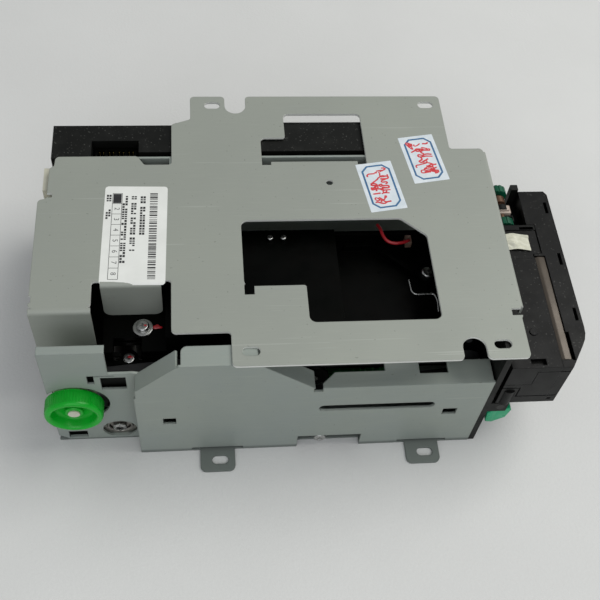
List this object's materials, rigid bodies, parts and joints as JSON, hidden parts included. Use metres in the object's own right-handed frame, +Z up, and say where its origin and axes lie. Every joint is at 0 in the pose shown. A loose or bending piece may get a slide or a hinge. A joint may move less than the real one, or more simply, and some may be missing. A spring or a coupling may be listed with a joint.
{
  "type": "card reader unit",
  "caption": "Motorised card reader unit: bent steel frame with slotted mounting plate, black card chassis and mouth block, green hand knob and belt-driven feed rollers.",
  "frame": {"origin": "centre of the bounding box on the surface the unit stands on", "axes": "+X towards the card mouth, +Y away from the knob side, +Z up"},
  "size_m": [0.2516, 0.1708, 0.0841],
  "materials": {
    "coated_steel": "satin",
    "black_plastic": "matte",
    "bronze_strip": "satin",
    "green_plastic": "satin",
    "teal_plastic": "satin",
    "pale_plastic": "satin",
    "motor_steel": "satin",
    "bright_steel": "gloss",
    "roller_rubber": "matte",
    "coil_brass": "satin",
    "green_board": "satin",
    "red_wire": "satin",
    "white_tape": "matte",
    "label_paper": "matte",
    "sticker_paper": "matte"
  },
  "bodies": {
    "frame": {"top_plate": "coated_steel", "tray": "coated_steel", "rear_bracket": "coated_steel", "front_frame": "black_plastic", "lower_guide": "black_plastic", "upper_guide": "black_plastic", "guide_cover": "black_plastic", "mouth_lower": "black_plastic", "mouth_upper": "black_plastic", "bezel": "black_plastic", "bezel_strip": "bronze_strip", "board_housing": "black_plastic", "housing_plugs": "black_plastic", "drive_motor": "motor_steel", "motor_mount": "coated_steel", "drive_belt": "roller_rubber", "solenoid": "coil_brass", "lever_pin": "bright_steel", "latch_hook": "black_plastic", "gate_arm": "black_plastic", "main_board": "green_board", "board_parts": "black_plastic", "card_sensors": "black_plastic", "rear_board": "green_board", "washer_screw": "bright_steel", "recessed_screw": "bright_steel", "window_screw": "bright_steel", "notch_screw": "bright_steel", "wire_arc": "red_wire", "rear_wire": "red_wire", "rear_plug": "pale_plastic", "taped_plug": "white_tape", "label": "label_paper", "sticker_front": "sticker_paper", "sticker_back": "sticker_paper"},
    "knob": {"hand_knob": "green_plastic", "knob_shaft": "pale_plastic", "knob_pulley": "pale_plastic"},
    "motor_rotor": {"motor_shaft": "bright_steel", "motor_pulley": "motor_steel"},
    "feed_1": {"feed_shaft_1": "bright_steel", "feed_rollers_1": "roller_rubber", "feed_pulley_1": "black_plastic"},
    "feed_2": {"feed_shaft_2": "bright_steel", "feed_rollers_2": "roller_rubber", "feed_pulley_2": "black_plastic"},
    "feed_3": {"feed_shaft_3": "bright_steel", "feed_rollers_3": "roller_rubber", "feed_pulley_3": "black_plastic"},
    "pinch_1": {"pinch_roller_1": "roller_rubber"},
    "pinch_2": {"pinch_roller_2": "roller_rubber"},
    "pinch_3": {"pinch_roller_3": "roller_rubber"},
    "head": {"magnetic_head": "bright_steel"},
    "contacts": {"chip_contact_block": "pale_plastic"},
    "shutter": {"shutter": "bright_steel", "plunger": "bright_steel"},
    "lever": {"release_lever": "teal_plastic"},
    "gate": {"gate_shaft": "coil_brass", "gate_wheels": "teal_plastic"}
  },
  "joints": [
    {"name": "knob_spin", "type": "hinge", "parent": "frame", "child": "knob", "pos_m": [-0.11005, -0.0562, 0.0372], "axis": [0, 1, 0], "continuous": true},
    {"name": "motor_spin", "type": "hinge", "parent": "frame", "child": "motor_rotor", "pos_m": [-0.09145, -0.0562, 0.0115], "axis": [0, 1, 0], "continuous": true},
    {"name": "feed_1_spin", "type": "hinge", "parent": "frame", "child": "feed_1", "pos_m": [-0.05775, -0.0562, 0.0476], "axis": [0, 1, 0], "continuous": true},
    {"name": "feed_2_spin", "type": "hinge", "parent": "frame", "child": "feed_2", "pos_m": [-0.00005, -0.0562, 0.0476], "axis": [0, 1, 0], "continuous": true},
    {"name": "feed_3_spin", "type": "hinge", "parent": "frame", "child": "feed_3", "pos_m": [0.07295, -0.0562, 0.0476], "axis": [0, 1, 0], "continuous": true},
    {"name": "pinch_1_spin", "type": "hinge", "parent": "frame", "child": "pinch_1", "pos_m": [-0.05775, -0.0219, 0.0627], "axis": [0, 1, 0], "continuous": true},
    {"name": "pinch_2_spin", "type": "hinge", "parent": "frame", "child": "pinch_2", "pos_m": [-0.00005, -0.0219, 0.0627], "axis": [0, 1, 0], "continuous": true},
    {"name": "pinch_3_spin", "type": "hinge", "parent": "frame", "child": "pinch_3", "pos_m": [0.07295, -0.0219, 0.0627], "axis": [0, 1, 0], "continuous": true},
    {"name": "gate_spin", "type": "hinge", "parent": "frame", "child": "gate", "pos_m": [0.10145, 0.0166, 0.0668], "axis": [0, 1, 0], "continuous": true},
    {"name": "head_rock", "type": "hinge", "parent": "frame", "child": "head", "pos_m": [0.03025, -0.0079, 0.0492], "axis": [0, 1, 0], "range_deg": [-2, 2], "stiffness_Nm_per_rad": 0.05},
    {"name": "contacts_slide", "type": "slide", "parent": "frame", "child": "contacts", "axis": [0, 0, -1], "range_m": [0, 0.001], "stiffness_N_per_m": 120, "springref_m": -0.001},
    {"name": "shutter_slide", "type": "slide", "parent": "frame", "child": "shutter", "axis": [0, 0, -1], "range_m": [0, 0.006], "stiffness_N_per_m": 60, "springref_m": -0.003},
    {"name": "lever_hinge", "type": "hinge", "parent": "frame", "child": "lever", "pos_m": [0.09095, -0.0659, 0.0343], "axis": [0, 1, 0], "range_deg": [-30, 0]}
  ],
  "couplings": [
    {"joint": "motor_spin", "follows": "knob_spin", "ratio": 1.6364},
    {"joint": "feed_1_spin", "follows": "knob_spin", "ratio": 1.3846},
    {"joint": "feed_2_spin", "follows": "knob_spin", "ratio": 1.3846},
    {"joint": "feed_3_spin", "follows": "knob_spin", "ratio": 1.3846}
  ]
}
